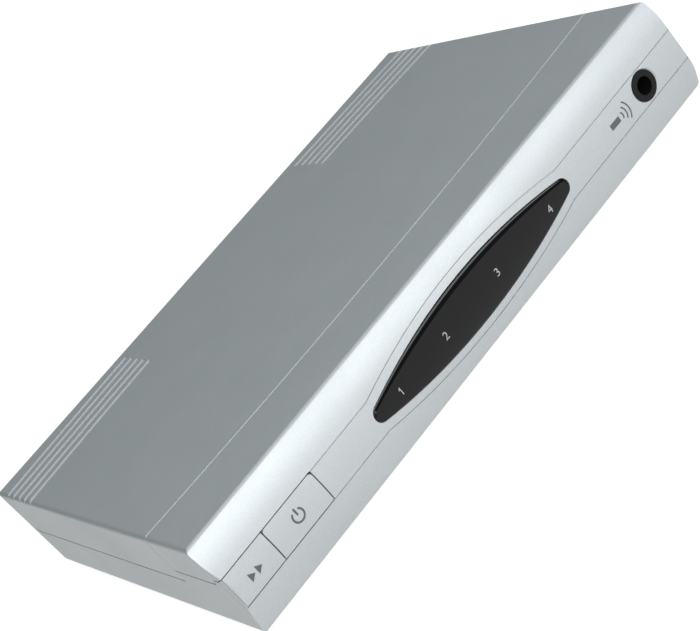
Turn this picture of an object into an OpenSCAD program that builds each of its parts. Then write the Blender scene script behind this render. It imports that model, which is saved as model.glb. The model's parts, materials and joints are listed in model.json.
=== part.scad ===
// Video switch box: a low silver case with a bulged front, two flush keys, a dark
// leaf-shaped window over four indicators, a remote socket and a row of rear sockets.
// The front faces -Y, the right end is +X, and Z = 0 is the table it stands on.

/* [Case] */
// Width from end to end
case_w = 135.6; // [130:0.2:150]
// Depth from the front bulge to the back
case_d = 92; // [88:0.2:110]
// Height of the case without its feet
case_h = 21.8; // [20.6:0.1:24]
// Wall thickness of the moulded shells
wall = 2; // [1.7:0.1:2.3]
// How far the front bulges ahead of the top's front edge
front_bulge = 2.55; // [2:0.05:3]
// Height of the bulge's foremost line above the underside
bulge_up = 11.6; // [10.2:0.1:12.4]
// Radius of the upright corners
corner_r = 1.2; // [0.6:0.1:2]
// Radius of the top's side and back edges
edge_r = 1; // [0.3:0.1:1.6]
// Radius of the underside's side and back edges
base_r = 1.5; // [0.3:0.1:2.2]
// Radius of the top's front edge
ridge_r = 0.9; // [0.3:0.1:1.6]
// Radius under the front
toe_r = 2.2; // [0.8:0.1:2.6]

/* [Parting lines] */
// Height of the front controls' centre line above the underside
axis_up = 11; // [10:0.1:11.4]
// Height of the plain band across the front
band_h = 7.3; // [7:0.1:7.8]
// Height of the top cover's lower edge above the underside
rear_line_up = 10.7; // [8.6:0.1:10.8]
// Height of the hood's side edge above the underside
hood_line_up = 13.5; // [11.6:0.1:13.6]
// Distance from the front bulge back to the middle of the top seam
seam_back = 16.2; // [15.5:0.1:18]
// How far the ends of the top seam lie behind its middle
seam_bow = 2.5; // [1.5:0.1:3.5]
// Width of the V cut along the top seam
seam_cut = 0.5; // [0.2:0.05:0.6]
// Width of the shadow lines between the shells
reveal = 0.26; // [0.16:0.02:0.3]
// Depth of the shadow lines across the front
reveal_depth = 0.3; // [0.2:0.05:0.9]
// Depth of the shadow lines along the sides and the back
side_reveal_depth = 0.7; // [0.3:0.05:0.9]
// Thickness of the case's upright lip at each front corner
lip_t = 0.5; // [0.3:0.1:1]

/* [Grip grooves] */
// Number of grooves at each rear corner
grip_count = 5; // [3:1:6]
// Distance between neighbouring grooves
grip_pitch = 3.03; // [2.4:0.05:3.4]
// Distance from the back to the rearmost groove at the middle
grip_back = 3.8; // [3:0.1:5]
// Distance of the grooves' inner ends from the middle
grip_inner = 29.1; // [24:0.1:40]
// Radius of the grooves' curve
grip_r = 915; // [600:5:1400]
// Width of one groove
grip_w = 1.2; // [0.6:0.1:1.4]
// Depth of one groove
grip_depth = 0.5; // [0.3:0.05:0.7]

/* [Window] */
// Sideways place of the window's middle
lens_x = 0.4; // [-3:0.1:3]
// Length of the window from tip to tip
lens_len = 58.6; // [52:0.1:64]
// Height of the window
lens_h = 10.4; // [9.6:0.1:11]
// Radius of the window's tips
lens_tip_r = 1.8; // [1.2:0.1:2.4]
// Thickness of the window plate
lens_t = 1.2; // [0.9:0.1:1.4]
// Width of the window's lowered rim
lens_rim = 0.5; // [0.3:0.1:0.8]
// How far that rim lies below the window's face
lens_rim_drop = 0.3; // [0.15:0.05:0.5]
// Width of the ledge that carries the window
lens_ledge = 1; // [0.7:0.1:1.3]
// Height of silver band left above and below the window
eye_margin = 1.75; // [1.4:0.05:2]
// Length over which the band swells round the window
eye_len = 57; // [52:0.5:62]
// Place of the first indicator, from the window's middle
led_1_at = -22.3; // [-23.5:0.1:-19]
// Place of the second indicator
led_2_at = -9.1; // [-14:0.1:-5]
// Place of the third indicator
led_3_at = 6.5; // [0:0.1:14]
// Place of the fourth indicator
led_4_at = 22.8; // [19:0.1:23.5]
// Radius of an indicator
led_r = 1.5; // [1:0.1:1.6]

/* [Keys] */
// Width of the left key, from the case's end to the first slit
select_w = 10.8; // [10:0.1:12]
// Width of the power key, between the slits
power_w = 13.25; // [11:0.05:14]
// Width of the slits
slit_w = 0.25; // [0.2:0.05:0.35]
// Thickness of a key
key_t = 1.7; // [1.5:0.1:1.8]
// Corner radius at the top of the power key
key_corner_r = 0.7; // [0.4:0.1:1.2]
// Height of the fascia's rail below the keys
rail_h = 0.8; // [0.6:0.1:1]
// Thickness of the skirt with which a key covers that rail
key_skirt_t = 0.7; // [0.6:0.05:0.8]
// Radius of a key's hinge barrel
hinge_r = 0.6; // [0.5:0.05:0.7]
// Running clearance round the hinge barrel
hinge_gap = 0.05; // [0.03:0.01:0.08]

/* [Remote socket] */
// Distance of the remote socket from the right end
jack_in = 12.3; // [10.5:0.1:19.5]
// Radius of the socket's bore
jack_bore_r = 1.8; // [1.7:0.05:2]
// Radius of the socket's collar
jack_collar_r = 3; // [2.7:0.1:3.3]
// Width of the bevel round the socket's hole in the fascia
jack_bevel = 0.3; // [0.1:0.05:0.4]
// Length of the socket's housing
jack_len = 12; // [11:0.5:13]

/* [Rear sockets] */
// Distance of the first input socket from the left end
first_input_in = 29.8; // [28.5:0.1:31.5]
// Distance of the output socket from the right end
output_in = 21.8; // [17.5:0.1:24.5]
// Extra room between the last input socket and the output socket
output_extra = 4; // [0:0.5:6]
// Width of a socket's metal shell
socket_w = 15; // [14:0.1:15.6]
// Height of a socket's metal shell
socket_h = 5.6; // [5.4:0.1:6]
// Length of a socket's metal shell
socket_len = 11.5; // [10.5:0.1:13]
// Sheet thickness of the shell
shell_t = 0.35; // [0.25:0.05:0.45]
// Distance of the power inlet from the left end
dc_in = 10.8; // [9.5:0.1:12.5]
// Radius of the power inlet's bore
dc_bore_r = 3.15; // [2.8:0.05:3.3]
// Radius of the power inlet's centre pin
dc_pin_r = 1; // [0.8:0.05:1.25]

/* [Board] */
// Thickness of the circuit board
board_t = 1.6; // [1.2:0.1:1.8]
// Height of the front controls' centre line above the board
axis_over_board = 3.05; // [3:0.05:3.2]
// Gap between the board and the case's walls
board_gap = 1; // [0.6:0.1:1.2]

/* [Fastening] */
// Height of the rubber feet below the case
foot_h = 2; // [1.5:0.1:3]
// Radius of a foot
foot_r = 4.5; // [3.5:0.1:5]
// Distance of the feet's centres from the case's ends
foot_in_x = 14; // [12:0.5:20]
// Distance of the front feet's centres from the front bulge
foot_in_front = 14; // [13:0.5:18]
// Distance of the rear feet's centres from the back
foot_in_back = 10; // [8:0.5:14]
// Radius of a case screw's shank
case_screw_r = 1.4; // [1.2:0.05:1.5]
// Radius of a board screw's shank
board_screw_r = 1.2; // [1:0.05:1.3]
// Radius of the upright posts that take the case screws
post_r = 3.6; // [3.4:0.1:4]
// Distance of the posts from the case's ends
post_in_x = 9.5; // [9:0.1:10.5]
// Distance of the posts from the case's middle, front and back
post_y = 20; // [18:0.5:22]

/* [Hidden] */
$fn = 96;
// Segments for the very large, nearly straight arcs
long_arc_fn = 1440;
// Overshoot that lets a cut pass clean through a face
cut = 1;

// Heights
bottom_z = foot_h;
top_z = bottom_z + case_h;
floor_z = bottom_z + wall;
roof_z = top_z - wall;
axis_z = bottom_z + axis_up;
apex_z = bottom_z + bulge_up;
upper_z = axis_z + band_h / 2;
lower_z = axis_z - band_h / 2;
rear_z = bottom_z + rear_line_up;
hood_z = bottom_z + hood_line_up;
board_z = axis_z - axis_over_board;

// Plan and front curve
half_w = case_w / 2;
inner_half_w = half_w - wall;
skin_half_w = half_w - lip_t;
front_y0 = -case_d / 2;
back_y = case_d / 2;
bulge_rise = top_z - apex_z;
front_r = (pow(bulge_rise, 2) + pow(front_bulge, 2)) / (2 * front_bulge);
arc_y = front_y0 + front_r;
toe_z = bottom_z + toe_r;
toe_y = front_y(toe_z, toe_r);
toe_out = (front_r + toe_r) / (front_r - toe_r);
ridge_z = top_z - ridge_r;
ridge_y = front_y(ridge_z, ridge_r);
ridge_out = (front_r + ridge_r) / (front_r - ridge_r);

// Top seam
seam_y = front_y0 + seam_back;
seam_end_y = seam_y + seam_bow;
seam_r = (pow(half_w, 2) + pow(seam_bow, 2)) / (2 * seam_bow);
seam_gap = 0.06;

// Window and the swell of the band round it
lens_half_h = lens_h / 2;
tip_x = lens_len / 2 - lens_tip_r;
lens_arc_r = (pow(tip_x, 2) + pow(lens_half_h, 2) - pow(lens_tip_r, 2)) / (2 * (lens_half_h - lens_tip_r));
tip_angle = atan2(lens_arc_r - lens_half_h, tip_x);
lens_fit = 0.05;
eye_half_h = lens_half_h + eye_margin;
eye_rise = eye_half_h - band_h / 2;
eye_arc_r = (pow(eye_len / 2, 2) + pow(eye_rise, 2)) / (2 * eye_rise);

// Set-back of the hood's lower corners behind the middle band
nose_back = 0.15;

// Fascia flange that laps behind the hood and the case
flange_t = 1.2;
flange_lap = 1.2;
flange_gap = 0.2;
flange_back = wall + flange_t;

// Keys and their hinges
slit_1_x = select_w - half_w;
slit_2_x = slit_1_x + power_w;
rail_z = lower_z + rail_h;
key_gap = 0.05;
key_top_gap = 0.22;
key_side_gap = 0.06;
key_skirt_gap = 0.1;
key_lip_t = 0.9;
key_low_z = rail_z + key_gap;
key_high_z = upper_z - key_top_gap;
select_x0 = key_side_gap - skin_half_w;
select_x1 = slit_1_x - slit_w / 2;
power_x0 = slit_1_x + slit_w / 2;
power_x1 = slit_2_x - slit_w / 2;
select_x = (select_x0 + select_x1) / 2;
power_x = (power_x0 + power_x1) / 2;
pivot_z = key_low_z + hinge_r * 0.6;
pivot_y = front_y(pivot_z, key_t) + hinge_r;
hinge_end_gap = 1.2;
saddle_t = 0.8;

// Circuit board
board_front_gap = 1.7;
board_front = front_y0 + flange_back + board_front_gap;
board_back = back_y - wall - board_gap / 2;
board_half_w = inner_half_w - board_gap;
board_low_z = board_z - board_t;

// Push switches behind the keys
switch_w = 4.5;
switch_d = 3.6;
switch_h = 5;
switch_y = board_front + 0.3;
plunger_r = 0.9;
plunger_out = 1;
plunger_in = 1.4;
plunger_gap = 0.08;
plunger_room = 0.4;
post_gap = 0.05;
push_w = 2;
push_h = 0.9;

// Remote socket
jack_x = half_w - jack_in;
jack_face_y = front_y0 + 0.15;
jack_body_w = 2 * jack_collar_r + 1;
jack_body_h = 2 * axis_over_board;
jack_top_z = board_z + jack_body_h;
jack_gap = 0.1;
jack_body_y = max(front_y(board_z, flange_back), front_y(jack_top_z, flange_back)) + jack_gap;
jack_end_t = 0.8;
jack_fit = 0.08;
jack_hole_r = jack_collar_r + jack_fit;
contact_w = 0.7;
contact_t = 0.25;
contact_len = 6;

// Rear sockets
input_count = 4;
first_input_x = first_input_in - half_w;
output_x = half_w - output_in;
socket_pitch = (output_x - output_extra - first_input_x) / input_count;
socket_mouth_y = back_y - 0.2;
socket_end_y = socket_mouth_y - socket_len;
socket_gap = 0.2;
socket_bevel = 1.9;
insert_block = 3.6;
tongue_w = 11.2;
tongue_t = 1.5;
tongue_set_back = 1.2;
tongue_z = board_z + socket_h / 2 + 0.3;
pad_pitch = 1;
pad_w = 0.5;
pad_t = 0.12;
pad_len = 5;
pads_above = 10;
pads_below = 9;

// Power inlet
dc_x = dc_in - half_w;
dc_w = 8.4;
dc_len = 14.2;
dc_flange = 3.5;
dc_head_gap = 0.65;
dc_window_r = dc_bore_r + 0.25;
dc_window_rim = 0.2;
dc_z = max(roof_z - dc_head_gap - dc_w / 2, rear_z + dc_window_rim + dc_window_r);
dc_top_z = dc_z + dc_w / 2;
dc_face_y = back_y - wall - 0.1;
dc_bore_len = 10;
dc_pin_set_back = 1.2;
spring_w = 2;
spring_t = 0.3;
spring_len = 7;
spring_drop = 0.4;

// Indicators
led_places = [led_1_at, led_2_at, led_3_at, led_4_at];
led_flange_r = led_r + 0.4;
led_flange_t = 1;
led_fit = 0.1;
holder_front_y = board_front - 1.2;
holder_back_y = board_front + 2.4;
holder_margin = 3.5;
holder_top_z = axis_z + led_r + 1.1;
lead_t = 0.5;
lead_pitch = 1.27;

// Parts that stand on the board
leg_pitch = 1.27;
package_h = 1.6;
switch_chip_w = 14;
switch_chip_pitch = 0.8;
switch_chip_x = 2;
switch_chip_y = 10;
controller_w = 12.8;
controller_d = 7.5;
controller_h = 2.2;
controller_x = -half_w / 3;
controller_y = -14;
memory_w = 5;
memory_d = 4;
memory_gap = 6;
supply_y = 2;
regulator_w = 6.5;
regulator_d = 3.5;
regulator_pitch = 2.3;
regulator_in = 35.5;
crystal_r = 2.2;
crystal_len = 10.6;
crystal_h = 3.5;
crystal_x = -2;
capacitor_r = 3.15;
capacitor_h = 7.6;
capacitor_base_w = 6.6;
capacitor_base_h = 0.9;
capacitor_in = 15.5;
capacitor_pitch = 9;

// Tongue and hooks that join the hood to the cover
tongue_reach = 5;
tongue_tail = 3;
joint_tongue_t = 1.5;
joint_tongue_in = 15.5;
joint_tongue_half = half_w - joint_tongue_in;
hook_in = 12;
hook_places = [-1, 0, 1] * (joint_tongue_half - hook_in);
hook_w = 6;
hook_t = 1.3;
hook_bite = 0.8;

// Screws and posts
post_spots = [for (sx = [-1, 1], sy = [-1, 1]) [sx * (half_w - post_in_x), sy * post_y]];
case_head_r = 2 * case_screw_r;
case_head_h = 1.9;
case_head_sink = 0.6;
case_seat_z = bottom_z + case_head_sink + case_head_h;
case_screw_len = 13;
screw_end_gap = 0.6;
pilot_top_z = case_seat_z + case_screw_len + screw_end_gap;
case_hole_gap = 0.2;
head_gap = 0.2;
pilot_gap = 0.03;
boss_foot_z = bottom_z + wall / 2;
board_boss_r = 3;
board_boss_in = 19.5;
board_boss_x = half_w - board_boss_in;
board_boss_front = 26;
board_boss_back = 24;
board_spots = [for (sx = [-1, 1], y = [-board_boss_front, board_boss_back]) [sx * board_boss_x, y]];
board_head_r = 2 * board_screw_r;
board_head_h = 1.7;
cross_w = 0.6;
cross_depth = 0.9;
post_clear = 0.6;

// Feet
foot_seat = 0.4;
foot_taper = 0.5;
foot_fit = 0.1;
foot_spots = [
    for (sx = [-1, 1], y = [front_y0 + foot_in_front, back_y - foot_in_back]) [sx * (half_w - foot_in_x), y]
];

// Colours
silver = [0.72, 0.75, 0.76];
black = [0.06, 0.06, 0.07];
steel = [0.75, 0.76, 0.78];
gold = [0.83, 0.68, 0.35];
board_green = [0.05, 0.3, 0.16];

// Y of the front curve at a height, at a depth below the outer face
function front_y(z, inset = 0) = arc_y - sqrt(pow(front_r - inset, 2) - pow(z - apex_z, 2));

// Sideways place of an input socket, counted from 0
function input_x(i) = first_input_x + i * socket_pitch;

// Points round an arc, its ends included
function arc_points(centre, r, from, to, steps) =
    [for (i = [0:steps]) let (a = from + (to - from) * i / steps) centre + r * [cos(a), sin(a)]];

// Window outline in X and Z: two long arcs and two round tips, moved in by inset
function lens_points(inset) =
    let (
        middle = [lens_x, axis_z],
        drop = [0, lens_arc_r - lens_half_h],
        reach = [tip_x, 0],
        long_r = lens_arc_r - inset,
        tip_r = lens_tip_r - inset,
        a = tip_angle,
        step = (180 - 2 * a) / 24
    )
    concat(
        arc_points(middle + reach, tip_r, -a, a, 10),
        arc_points(middle - drop, long_r, a + step, 180 - a - step, 22),
        arc_points(middle - reach, tip_r, 180 - a, 180 + a, 10),
        arc_points(middle + drop, long_r, 180 + a + step, 360 - a - step, 22)
    );

// Extrusion of a Y-Z shape, centred along X
module along_x(w) {
    translate([-w / 2, 0, 0]) rotate([90, 0, 90]) linear_extrude(w) children();
}

// Extrusion of an X-Z shape between two depths
module along_y(y0, y1) {
    translate([0, y1, 0]) rotate([90, 0, 0]) linear_extrude(y1 - y0) children();
}

// Rod along X
module rod_x(r, x0, x1, y, z) {
    translate([x0, y, z]) rotate([0, 90, 0]) cylinder(r = r, h = x1 - x0);
}

// Rod along Y
module rod_y(r, y0, y1, x, z) {
    translate([x, y0, z]) rotate([-90, 0, 0]) cylinder(r = r, h = y1 - y0);
}

// Box between two corners
module box(low, high) {
    translate(low) cube(high - low);
}

// Rectangle with round corners, centred
module round_rect(w, h, r) {
    square([w - 2 * r, h], center = true);
    square([w, h - 2 * r], center = true);
    for (sx = [-1, 1], sy = [-1, 1]) translate([sx * (w / 2 - r), sy * (h / 2 - r)]) circle(r);
}

// Rectangle with one radius at its upper corners and another at its lower ones, centred
module soft_rect(w, h, top_r, low_r) {
    square([w, h - 2 * max(top_r, low_r)], center = true);
    for (sy = [-1, 1]) {
        r = sy > 0 ? top_r : low_r;
        translate([0, sy * (h / 2 - r) / 2]) square([w, h / 2 - r], center = true);
        translate([0, sy * h / 4]) square([w - 2 * r, h / 2], center = true);
        for (sx = [-1, 1]) translate([sx * (w / 2 - r), sy * (h / 2 - r)]) circle(r);
    }
}

// Case section in Y and Z, moved in by inset
module section(inset) {
    low = bottom_z + inset;
    span = case_h - 2 * inset;
    intersection() {
        translate([arc_y, apex_z]) circle(front_r - inset);
        translate([arc_y - front_r, low]) square([front_r, span]);
    }
    translate([arc_y - cut, low]) square([back_y - inset - arc_y + cut, span]);
}

// Outer section with its round edges at the back, along the ridge and under the front
module outer_section() {
    arc_centre = [arc_y, apex_z];
    toe_centre = [toe_y, toe_z];
    ridge_centre = [ridge_y, ridge_z];
    difference() {
        intersection() {
            section(0);
            translate([-front_r / 2, bottom_z + case_h / 2])
                soft_rect(case_d + front_r, case_h, edge_r, base_r);
        }
        polygon([
            toe_centre,
            arc_centre + (toe_centre - arc_centre) * toe_out,
            [front_y0 - cut, bottom_z - cut],
            [toe_y, bottom_z - cut]
        ]);
        polygon([
            ridge_centre,
            arc_centre + (ridge_centre - arc_centre) * ridge_out,
            [front_y0 - cut, top_z + cut],
            [ridge_y, top_z + cut]
        ]);
    }
    translate(toe_centre) circle(toe_r);
    translate(ridge_centre) circle(ridge_r);
}

// Whole outer form of the case
module body_block() {
    intersection() {
        along_x(case_w) outer_section();
        translate([0, 0, bottom_z]) linear_extrude(case_h) round_rect(case_w, case_d, corner_r);
        along_y(front_y0 - cut, back_y + cut)
            translate([0, bottom_z + case_h / 2]) soft_rect(case_w, case_h, edge_r, base_r);
    }
}

// Hollow of the case
module cavity() {
    along_x(2 * inner_half_w) section(wall);
}

// Everything behind the top seam
module behind_seam(r) {
    translate([0, seam_y + seam_r, 0]) cylinder(r = r, h = 2 * top_z, $fn = long_arc_fn);
}

// Everything above a height
module above(z) {
    box([-case_w, -case_d, z], [case_w, case_d, z + 2 * case_h]);
}

// Side view of the hood's reach, with its round lower corner at the front
module hood_side() {
    nose_y = front_y(upper_z, wall) + nose_back;
    corner = upper_z - hood_z;
    translate([nose_y + corner, hood_z]) square([case_d, case_h]);
    translate([front_y0 - cut, upper_z]) square([case_d, case_h]);
    translate([nose_y + corner, upper_z]) circle(corner);
}

// Two equal arcs that meet in points, round the window's middle
module leaf(r, half_h) {
    translate([lens_x, axis_z]) intersection() {
        translate([0, half_h - r]) circle(r, $fn = long_arc_fn);
        translate([0, r - half_h]) circle(r, $fn = long_arc_fn);
    }
}

// Front band with its swell round the window
module band(half_width, grow = 0) {
    translate([-half_width, lower_z - grow]) square([2 * half_width, band_h + 2 * grow]);
    leaf(eye_arc_r + grow, eye_half_h + grow);
}

// Slice of the front between two depths, cut to an X-Z outline
module front_layer(outer, inner) {
    difference() {
        intersection() {
            rod_x(front_r - outer, -case_w, case_w, arc_y, apex_z);
            along_y(front_y0 - cut, front_y0 + flange_back + 4) children();
        }
        rod_x(front_r - inner, -case_w, case_w, arc_y, apex_z);
    }
}

// Opening for the middle band through the shells' front walls, and a step at each end
module front_opening(half_width) {
    step = half_width - inner_half_w + cut;
    front_layer(-cut, flange_back) band(inner_half_w);
    front_layer(-cut, wall) for (sx = [-1, 1])
        translate([sx * (half_width - step / 2), axis_z]) square([step, band_h], center = true);
}

// Outer face of the front down to a depth, cut to an X-Z outline
module front_skin(depth) {
    difference() {
        intersection() {
            body_block();
            along_y(front_y0 - cut, front_y0 + flange_back + 4) children();
        }
        rod_x(front_r - depth, -case_w, case_w, arc_y, apex_z);
    }
}

// Fine V cut along the top seam and down both ends
module seam_groove() {
    translate([0, seam_y + seam_r, top_z])
        rotate_extrude($fn = long_arc_fn)
        translate([seam_r, 0]) rotate(45) square(seam_cut / sqrt(2), center = true);
    for (sx = [-1, 1])
        translate([sx * half_w, seam_end_y, hood_z]) rotate(45)
        translate([-seam_cut / sqrt(8), -seam_cut / sqrt(8), 0])
        cube([seam_cut / sqrt(2), seam_cut / sqrt(2), case_h]);
}

// Curved grip grooves at both rear corners
module grip_grooves() {
    first_r = grip_r - (grip_count - 1) * grip_pitch;
    intersection() {
        translate([0, back_y - grip_back - grip_r, top_z])
            for (k = [0:grip_count - 1])
                rotate_extrude($fn = long_arc_fn)
                translate([first_r + k * grip_pitch, 0])
                polygon([[-grip_w / 2, 0], [0, -grip_depth], [grip_w / 2, 0], [0, cut]]);
        for (sx = [-1, 1])
            translate([sx * (grip_inner + half_w), back_y / 2, top_z])
            cube([2 * half_w, case_d, 2 * wall], center = true);
    }
}

// Outline of a rear socket's shell: square above, bevelled below
module socket_outline(x, grow = 0) {
    side = socket_w / 2 + grow;
    low = board_z - grow;
    high = board_z + socket_h + grow;
    translate([x, 0]) polygon([
        [-side, high], [side, high], [side, low + socket_bevel],
        [side - socket_bevel, low], [socket_bevel - side, low], [-side, low + socket_bevel]
    ]);
}

// Openings through the back for the five sockets and the power inlet
module rear_windows() {
    places = concat([for (i = [0:input_count - 1]) input_x(i)], [output_x]);
    for (x = places)
        along_y(back_y - wall - cut, back_y + cut) socket_outline(x, socket_gap);
    rod_y(dc_window_r, back_y - wall - cut, back_y + cut, dc_x, dc_z);
}

// Rear and side shadow line under the covers
module side_reveal() {
    difference() {
        union() {
            difference() {
                along_x(case_w + cut) translate([0, -reveal]) hood_side();
                behind_seam(seam_r);
            }
            intersection() {
                behind_seam(seam_r);
                above(rear_z - reveal);
            }
        }
        box(
            [side_reveal_depth - half_w, front_y0 - cut, 0],
            [half_w - side_reveal_depth, back_y - side_reveal_depth, 2 * top_z]
        );
    }
}

// Upper shell with the grip grooves, screw bosses and the tongue under the hood
module top_cover() {
    color(silver) difference() {
        union() {
            difference() {
                intersection() {
                    body_block();
                    behind_seam(seam_r - seam_gap);
                    above(rear_z);
                }
                cavity();
            }
            for (p = post_spots)
                translate([p.x, p.y, rear_z]) cylinder(r = post_r, h = top_z - wall / 2 - rear_z);
            box(
                [-joint_tongue_half, seam_y - tongue_reach, roof_z - joint_tongue_t],
                [joint_tongue_half, seam_end_y + tongue_tail, roof_z]
            );
            intersection() {
                behind_seam(seam_r - seam_gap);
                box(
                    [-joint_tongue_half, seam_y, roof_z - joint_tongue_t],
                    [joint_tongue_half, seam_end_y + tongue_tail, roof_z + wall / 2]
                );
            }
        }
        seam_groove();
        grip_grooves();
        rear_windows();
        for (p = post_spots)
            translate([p.x, p.y, rear_z - cut])
            cylinder(r = case_screw_r + pilot_gap, h = pilot_top_z - rear_z + cut);
    }
}

// Front hood: the bright upper band, the front strip of the top and three hooks
module front_hood() {
    tongue_front = seam_y - tongue_reach;
    hook_top = roof_z - joint_tongue_t;
    color(silver) difference() {
        union() {
            difference() {
                intersection() {
                    body_block();
                    along_x(case_w + cut) hood_side();
                }
                behind_seam(seam_r);
                cavity();
                front_opening(case_w);
            }
            for (x = hook_places) {
                box(
                    [x - hook_w / 2, tongue_front - hook_t, hook_top - hook_t],
                    [x + hook_w / 2, tongue_front, roof_z + wall / 2]
                );
                box(
                    [x - hook_w / 2, tongue_front - hook_t, hook_top - hook_t],
                    [x + hook_w / 2, tongue_front + hook_bite, hook_top]
                );
            }
        }
        seam_groove();
    }
}

// Lower tray with screw posts, board bosses and the lower halves of the rear openings
module bottom_case() {
    color(silver) difference() {
        union() {
            difference() {
                body_block();
                cavity();
                along_x(case_w + cut) hood_side();
                intersection() {
                    behind_seam(seam_r);
                    above(rear_z);
                }
                front_opening(skin_half_w);
            }
            for (p = post_spots)
                translate([p.x, p.y, boss_foot_z]) cylinder(r = post_r, h = rear_z - boss_foot_z);
            for (p = board_spots)
                translate([p.x, p.y, boss_foot_z]) cylinder(r = board_boss_r, h = board_low_z - boss_foot_z);
        }
        side_reveal();
        rear_windows();
        for (p = post_spots) translate([p.x, p.y, bottom_z - cut]) {
            cylinder(r = case_screw_r + case_hole_gap, h = case_h);
            cylinder(r = case_head_r + head_gap, h = case_seat_z - bottom_z + cut);
        }
        for (p = board_spots)
            translate([p.x, p.y, floor_z]) cylinder(r = board_screw_r + pilot_gap, h = case_h);
        for (p = foot_spots)
            translate([p.x, p.y, bottom_z - cut]) cylinder(r = foot_r + foot_fit, h = foot_seat + cut);
    }
}

// Middle band with the window ledge, the socket hole, the key rail and its hinge saddle
module front_fascia() {
    saddle_back = pivot_y + hinge_r + saddle_t;
    saddle_x0 = 2 * flange_gap - inner_half_w;
    saddle_top = pivot_z + hinge_r / 3;
    color(silver) difference() {
        union() {
            front_skin(wall) band(skin_half_w, -reveal);
            front_layer(reveal_depth, wall) band(skin_half_w);
            front_layer(reveal_depth, flange_back) band(inner_half_w - flange_gap, -reveal);
            intersection() {
                front_layer(wall, flange_back) band(inner_half_w - flange_gap, flange_lap);
                box(
                    [-half_w, front_y0 - cut, floor_z + flange_gap],
                    [half_w, back_y, roof_z - flange_gap]
                );
            }
            box([saddle_x0, front_y(lower_z, wall) - flange_t / 2, lower_z], [slit_2_x, saddle_back, rail_z]);
            box([saddle_x0, pivot_y, lower_z], [slit_2_x, saddle_back, saddle_top]);
        }
        key_opening();
        front_layer(-cut, lens_t) polygon(lens_points(-lens_fit));
        along_y(front_y0 - cut, back_y) polygon(lens_points(lens_ledge));
        rod_y(jack_hole_r, front_y0 - cut, front_y0 + wall + flange_back, jack_x, axis_z);
        translate([jack_x, front_y0 - jack_bevel, axis_z]) rotate([-90, 0, 0])
            cylinder(r1 = jack_hole_r + 2 * jack_bevel, r2 = jack_hole_r, h = 2 * jack_bevel);
        rod_x(hinge_r + hinge_gap, -half_w, slit_2_x, pivot_y, pivot_z);
    }
}

// Space above and in front of the rail that the two keys fill
module key_opening() {
    right = slit_2_x + slit_w / 2;
    box([-case_w, front_y0 - cut, rail_z], [right, pivot_y, top_z]);
    box([-case_w, front_y0 - cut, pivot_z + hinge_r / 3], [right, back_y, top_z]);
    front_layer(-cut, key_skirt_t + key_skirt_gap)
        translate([-case_w, lower_z - cut]) square([case_w + right, rail_h + 2 * cut]);
}

// One hinged key: curved plate, skirt over the rail, hinge barrel and the nub that meets its switch
module key(x0, x1, nub_x, corner_left, corner_right) {
    nub_y = switch_y - plunger_out - post_gap;
    inner_x0 = max(x0, 2 * flange_gap - inner_half_w);
    barrel_x0 = inner_x0 + hinge_end_gap;
    barrel_x1 = x1 - hinge_end_gap;
    front_skin(key_lip_t) key_outline(x0, x1, corner_left, corner_right);
    front_skin(key_t) key_outline(inner_x0, x1, corner_left, corner_right);
    front_skin(key_skirt_t) translate([x0, lower_z + reveal]) square([x1 - x0, rail_h]);
    rod_x(hinge_r, barrel_x0, barrel_x1, pivot_y, pivot_z);
    box(
        [barrel_x0, front_y(pivot_z, key_t) - key_t / 4, key_low_z],
        [barrel_x1, pivot_y, pivot_z + hinge_r / 2]
    );
    box(
        [nub_x - push_w / 2, front_y(axis_z, key_t) - key_t / 4, axis_z - push_h / 2],
        [nub_x + push_w / 2, nub_y, axis_z + push_h / 2]
    );
}

// Front view of a key, with round upper corners where asked
module key_outline(x0, x1, corner_left, corner_right) {
    left = corner_left ? key_corner_r : 0;
    right = corner_right ? key_corner_r : 0;
    translate([x0, key_low_z]) square([x1 - x0, key_high_z - key_low_z - key_corner_r]);
    translate([x0 + left, key_low_z]) square([x1 - x0 - left - right, key_high_z - key_low_z]);
    if (corner_left) translate([x0 + left, key_high_z - left]) circle(left);
    if (corner_right) translate([x1 - right, key_high_z - right]) circle(right);
}

// Left key
module select_button() {
    color(silver) key(select_x0, select_x1, select_x, false, false);
}

// Power key
module power_button() {
    color(silver) key(power_x0, power_x1, power_x, true, true);
}

// Body of a push switch, with the blind hole that guides its plunger
module push_switch(x) {
    color(black) difference() {
        translate([x - switch_w / 2, switch_y, board_z]) cube([switch_w, switch_d, switch_h]);
        rod_y(plunger_r + plunger_gap, switch_y - cut, switch_y + plunger_in + plunger_room, x, axis_z);
    }
}

// Plunger of a push switch
module push_plunger(x) {
    color([0.85, 0.83, 0.78]) rod_y(plunger_r, switch_y - plunger_out, switch_y + plunger_in, x, axis_z);
}

// Window plate with its lowered rim
module display_lens() {
    color(black) {
        front_layer(lens_rim_drop, lens_t) polygon(lens_points(0));
        front_layer(0, lens_t) polygon(lens_points(lens_rim));
    }
}

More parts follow.
